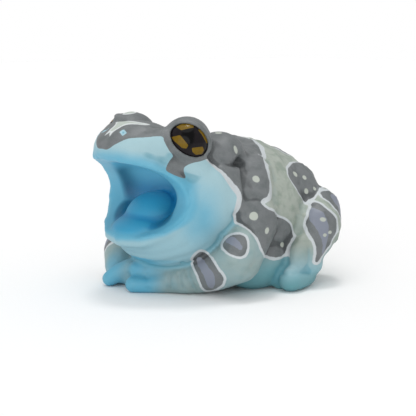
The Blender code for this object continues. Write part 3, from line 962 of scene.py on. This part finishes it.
vinylPaint = {
    "colours": {
        "cheek": "#9fc0c8",
        # the throat's bluer tone, laid on stronger lower down: its own paint with painted shade
        "throat": "#86b2c0",
        "back": "#a3aba2",
        "backDeep": "#8d998e",
        # painted shade: the back's colour darkens towards the table
        "backLowShade": "#838f88",
        "blue": "#5aa8c4",
        # the teal of the underside and feet: the figure's own tint with painted shade, stronger lower down
        "teal": "#4f8f98",
        "tealPale": "#6f9fa6",
        # painted shade in creases and recesses, where no back or mouth colour covers them
        "crease": "#5797a8",
        "mouth": "#2c95bd",
        # painted shade: the mouth's blue darkens deeper in and in its creases
        "mouthShade": "#1784b4",
        # painted light: a paler blue high on the palate
        "roofLight": "#74c4de",
        # painted shade: a dark band along the mouth's inner fold
        "gulletShade": "#04506f",
        "speckle": "#7d9088",
        "white": "#c3c9cc",
        "whiteWorn": "#b3bbbd",
        "dark": "#6d7173",
        "darkMottle": "#5f6566",
        # painted shade: the dark bands go near black in creases and recesses
        "darkShade": "#3d4143",
        "darkDust": "#9aa1a0",
        "lavender": "#7f8592",
        "spot": "#b3b9b0",
        "streak": "#b7c0b8",
        "streakEdge": "#d3d9d9",
        "nostril": "#6fa9bd",
        "nostrilEdge": "#9cc3cf",
    },
    # Size in mm, detail and roughness. Real paint grain is finer and is drawn at 0.22 mm so that it shows.
    "clouds": {
        "grain": (0.22, 2.0, 0.55),
        "pebble": (0.9, 3.0, 0.55),
        "wander": (1.6, 3.0, 0.55),
        "mottle": (3.4, 4.0, 0.55),
        "drift": (9.0, 3.0, 0.55),
    },
    "marks": ("plainDark", "linedDark", "lavender", "pale", "streak", "nostril", "rim", "back", "blue",
              "shade", "deep", "roofLight", "gulletShade", "hollowShade"),
    # A name, an operation and its parts. The wobble is a quarter of a millimetre at most, either way.
    "sums": (
        ("height", "MULTIPLY", "metresUp", 1000.0),
        ("wobble", "MULTIPLY_ADD", "wander", 0.5, -0.25),
        ("linedEdge", "ADD", "linedDark", "wobble"),
        ("plainEdge", "MULTIPLY_ADD", "wobble", 0.5, "plainDark"),
        ("lavenderEdge", "MULTIPLY_ADD", "wobble", 1.6, "lavender"),
        ("paleEdge", "MULTIPLY_ADD", "wobble", 0.5, "pale"),
        ("streakLine", "MULTIPLY_ADD", "wobble", 0.5, "streak"),
        ("darkEdge", "MAXIMUM", "linedEdge", "plainEdge"),
        ("rimWidth", "MULTIPLY_ADD", "drift", 1.4, 0.3),
        ("whiteEdge", "MULTIPLY_ADD", "rim", "rimWidth", "linedEdge"),
        ("unevenBlue", "MULTIPLY_ADD", "drift", 0.35, "blue"),
        # painted shade inside the mouth: how deep in and how far down in a crease
        ("mouthShadeDepth", "ADD", "hollowShade", "deep"),
        ("mostBack", "MULTIPLY", "back", 0.85),
        ("covered", "MAXIMUM", "mostBack", "deep"),
        ("bareCrease", "MULTIPLY_ADD", "covered", -0.55, 0.55),
        ("roofLightShare", "MULTIPLY", "roofLight", 0.8),
        ("gulletShadeShare", "MULTIPLY", "gulletShade", 0.8),
        ("pebbleHeight", "MULTIPLY", "pebble", 0.65),
        ("relief", "MULTIPLY_ADD", "grain", 0.35, "pebbleHeight"),
        ("roughness", "MULTIPLY_ADD", "grain", 0.16, 0.4),
    ),
    # A name, what it follows, where it starts and ends, and its strongest value.
    "fades": (
        ("backMottled", "mottle", 0.42, 0.66, 1.0),
        # painted shade: the back darkens from 28 mm down to 8 mm
        ("lowFlankShade", "height", 28.0, 8.0, 0.6),
        # the throat's tone with painted shade, from 36 mm down to 18 mm
        ("lowCheekShade", "height", 36.0, 18.0, 0.6),
        ("blueShows", "unevenBlue", 0.255, 1.175, 1.0),
        # painted shade shows in creases and recesses
        ("creaseShadeShows", "hollowShade", 0.25, 1.6, "bareCrease"),
        ("mouthShadeShows", "mouthShadeDepth", 0.5, 1.6, 1.0),
        ("specksShow", "grain", 0.56, 0.7, 0.14),
        ("edgeShows", "whiteEdge", -0.08, 0.08, 1.0),
        ("edgeWorn", "grain", 0.5, 0.75, 1.0),
        ("darkShows", "darkEdge", -0.08, 0.08, 1.0),
        ("darkMottled", "mottle", 0.4, 0.7, 1.0),
        # painted shade on the dark bands, in creases and recesses
        ("darkShadedCreases", "hollowShade", 0.25, 1.6, 0.75),
        ("darkDusted", "grain", 0.55, 0.72, 0.25),
        ("lavenderShows", "lavenderEdge", -0.1, 0.1, 1.0),
        ("spotShows", "paleEdge", -0.12, 0.12, 1.0),
        ("streakShows", "streakLine", -0.15, 0.15, 1.0),
        ("streakFilled", "streakLine", 0.3, 0.45, 1.0),
        ("nostrilShows", "nostril", -0.1, 0.1, 1.0),
        ("nostrilFilled", "nostril", 0.4, 0.6, 1.0),
    ),
    # A name, where the upper colour shows, the lower colour and the upper one, in the order they are laid on.
    "coats": (
        ("flank", "backMottled", "back", "backDeep"),
        ("flank", "lowFlankShade", "flank", "backLowShade"),
        ("face", "lowCheekShade", "cheek", "throat"),
        ("bellyShade", "drift", "teal", "tealPale"),
        ("innerMouth", "mouthShadeShows", "mouth", "mouthShade"),
        ("edging", "edgeWorn", "white", "whiteWorn"),
        ("band", "darkMottled", "dark", "darkMottle"),
        ("band", "darkShadedCreases", "band", "darkShade"),
        ("band", "darkDusted", "band", "darkDust"),
        ("browStreak", "streakFilled", "streakEdge", "streak"),
        ("noseMark", "nostrilFilled", "nostrilEdge", "nostril"),
        ("skin", "back", "face", "flank"),
        ("skin", "blueShows", "skin", "blue"),
        ("skin", "shade", "skin", "bellyShade"),
        ("skin", "creaseShadeShows", "skin", "crease"),
        ("skin", "deep", "skin", "innerMouth"),
        ("skin", "roofLightShare", "skin", "roofLight"),
        ("skin", "gulletShadeShare", "skin", "gulletShade"),
        ("skin", "specksShow", "skin", "speckle"),
        ("skin", "edgeShows", "skin", "edging"),
        ("skin", "darkShows", "skin", "band"),
        ("skin", "lavenderShows", "skin", "lavender"),
        ("skin", "spotShows", "skin", "spot"),
        ("skin", "streakShows", "skin", "browStreak"),
        ("skin", "nostrilShows", "skin", "noseMark"),
    ),
    "bumpStrength": 0.35,
    "bumpHeight": 0.12,
}


def paintedVinyl():
    # Moulded soft vinyl, painted by hand and sealed satin: soft broad highlights, an airbrushed ground that
    # fades without edges, with painted shade in creases, low down and deep in the mouth and painted light on
    # the palate, and brushed patches with crisp, slightly uneven ones.
    material = newMaterial("handPaintedVinyl")
    tree = material.node_tree
    fields, tones = mixPaint(tree, vinylPaint)
    bump = addNode(tree, "Bump", {"Height": fields["relief"], "Strength": vinylPaint["bumpStrength"],
                                  "Distance": vinylPaint["bumpHeight"] * mm})
    shader = addNode(tree, "BsdfPrincipled", {"Base Color": tones["skin"], "Roughness": fields["roughness"],
                                              "Normal": bump})
    addNode(tree, "OutputMaterial", {"Surface": shader})
    return material


eyePaint = {
    "colours": {
        "iris": "#110f11",
        "irisSheen": "#201b1e",
        "pupil": "#020203",
        "gold": "#7f6519",
        "goldDeep": "#5f4a10",
    },
    "clouds": {"sheen": (1.0, 3.0, 0.5)},
    "marks": ("pupil", "gold"),
    "sums": (),
    "fades": (
        ("pupilShows", "pupil", -1.2, -0.1, 1.0),
        ("goldShows", "gold", -0.08, 0.08, 1.0),
    ),
    "coats": (
        ("sheenedIris", "sheen", "iris", "irisSheen"),
        ("block", "sheen", "gold", "goldDeep"),
        ("eye", "pupilShows", "sheenedIris", "pupil"),
        ("eye", "goldShows", "eye", "block"),
    ),
    "roughness": 0.12,
    "specular": 0.15,
}


def varnishedEye():
    # Gloss varnish over paint: a near-black ball with small sharp highlights, a brown sheen and gold blocks.
    material = newMaterial("varnishedEyePaint")
    tree = material.node_tree
    fields, tones = mixPaint(tree, eyePaint)
    shader = addNode(tree, "BsdfPrincipled", {"Base Color": tones["eye"], "Roughness": eyePaint["roughness"],
                                              "Specular IOR Level": eyePaint["specular"]})
    addNode(tree, "OutputMaterial", {"Surface": shader})
    return material


skin.data.materials.clear()
skin.data.materials.append(paintedVinyl())
eyeCoat = varnishedEye()
for eye in (eyeLeft, eyeRight):
    eye.data.materials.clear()
    eye.data.materials.append(eyeCoat)
print("materials made")

fleshNodes = ["head", "lower_jaw", "tongue", "torso"]
for limb in ("upper_arm", "forearm", "hand", "thigh", "shank", "foot"):
    fleshNodes += [limb + "_left", limb + "_right"]
for piece in (skin, eyeLeft, eyeRight):
    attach(piece, "root")
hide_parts(*fleshNodes)
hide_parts("eye_left")
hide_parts("eye_right")

# A white paper table and soft studio light: where each lamp stands, how wide it looks in degrees, its power.
studio = {
    "paper": "#fdfdfd",
    "paperFibre": "#fafafa",
    "fibresPerMetre": 900.0,
    "paperRoughness": 0.9,
    "tableHalf": 3.0,
    "worldLight": 0.62,
    "worldSeen": 1.0,
    "lamps": {
        "ceilingPanel": ((0.1, -0.15, 1.0), 50.0, 0.6),
        "overheadLamp": ((-0.1, 0.1, 1.0), 12.0, 0.6),
        "frontPanel": ((0.55, -0.85, 0.12), 60.0, 1.1),
    },
}


def makeCamera():
    right, up, back = viewAxes()
    lens = bpy.data.cameras.new("photoLens")
    lens.lens = view["lens"]
    lens.sensor_width = view["sensor"]
    lens.clip_start = 0.01
    lens.dof.use_dof = False
    camera = bpy.data.objects.new("photoCamera", lens)
    target = np.array(view["target"]) * mm + shift
    turn = Matrix([[right[i], up[i], back[i]] for i in range(3)]).to_4x4()
    camera.matrix_world = Matrix.Translation(target + back * view["distance"] * mm) @ turn
    bpy.context.scene.collection.objects.link(camera)
    bpy.context.scene.camera = camera


def makeLamp(name, place, angle, power):
    # a wide sun, as soft as a studio panel
    lamp = bpy.data.lights.new(name, "SUN")
    lamp.angle = math.radians(angle)
    lamp.energy = power
    item = bpy.data.objects.new(name, lamp)
    item.location = place
    item.rotation_euler = (-Vector(place)).to_track_quat("-Z", "Y").to_euler()
    bpy.context.scene.collection.objects.link(item)


def makeFloor():
    bm = bmesh.new()
    bmesh.ops.create_grid(bm, x_segments=1, y_segments=1, size=studio["tableHalf"])
    floor = newObject("floor", bm)
    # uncoated white paper: matt, with a barely seen cloudiness
    material = newMaterial("whitePaperSweep")
    tree = material.node_tree
    place = addNode(tree, "TexCoord", out="Object")
    fibre = addNode(tree, "TexNoise", {"Vector": place, "Scale": studio["fibresPerMetre"], "Detail": 3.0},
                    out="Fac")
    colour = addNode(tree, "Mix", {"Factor": fibre, 6: studio["paper"], 7: studio["paperFibre"]}, out=2,
                     data_type="RGBA")
    shader = addNode(tree, "BsdfPrincipled", {"Base Color": colour, "Roughness": studio["paperRoughness"]})
    addNode(tree, "OutputMaterial", {"Surface": shader})
    floor.data.materials.append(material)


def makeWorld():
    # white where it is seen, dimmer as a light
    world = bpy.data.worlds.new("studioWorld")
    bpy.context.scene.world = world
    world.use_nodes = True
    tree = world.node_tree
    sky = tree.nodes["Background"]
    sky.inputs["Color"].default_value = linear("#ffffff")
    seen = addNode(tree, "LightPath", out="Is Camera Ray")
    strength = addNode(tree, "MapRange", {"Value": seen, "To Min": studio["worldLight"],
                                          "To Max": studio["worldSeen"]})
    tree.links.new(strength, sky.inputs["Strength"])


bpy.context.scene.view_settings.view_transform = "Standard"
makeWorld()
makeCamera()
makeFloor()
for name, (place, angle, power) in studio["lamps"].items():
    makeLamp(name, place, angle, power)
print("studio lit")
